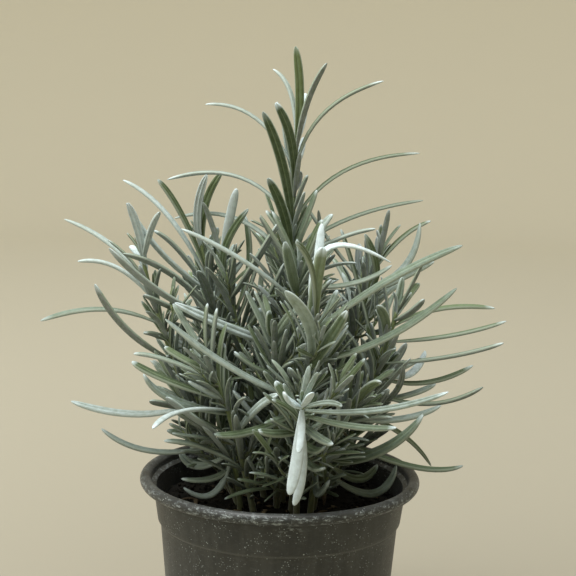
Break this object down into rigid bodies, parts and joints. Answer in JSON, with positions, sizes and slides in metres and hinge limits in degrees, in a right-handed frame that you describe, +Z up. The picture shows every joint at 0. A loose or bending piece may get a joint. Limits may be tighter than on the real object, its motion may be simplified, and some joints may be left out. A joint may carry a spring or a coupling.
{
  "type": "potted lavender",
  "caption": "Young bushy lavender with narrow grey-green leaves in pairs on upright and spreading shoots, standing in a round dark nursery pot filled with soil.",
  "frame": {"origin": "centre of the pot's flat underside", "axes": "+Z up along the pot's axis, +X to the right as seen from the plant's front, which looks along -Y"},
  "size_m": [0.1964, 0.1601, 0.276],
  "materials": {
    "pot": "satin, dark charcoal brown, dusty",
    "soil": "matte, dark, crumbly",
    "leaf": "matte, felted, grey green"
  },
  "bodies": {
    "root": {"pot": "pot", "soil": "soil", "shoot_tall": "leaf", "shoot_upper_left": "leaf", "shoot_left": "leaf", "shoot_mid_left": "leaf", "shoot_middle": "leaf", "shoot_inner": "leaf", "shoot_front": "leaf", "shoot_front_low": "leaf", "shoot_front_left": "leaf", "shoot_low_left": "leaf", "shoot_low_right": "leaf", "shoot_right": "leaf", "shoot_upper_right": "leaf", "shoot_pot_left": "leaf", "shoot_pot_right": "leaf", "shoot_back": "leaf", "shoot_back_left": "leaf", "shoot_back_right": "leaf", "shoot_back_low_left": "leaf", "shoot_back_low_right": "leaf", "shoot_back_low": "leaf"}
  },
  "joints": []
}
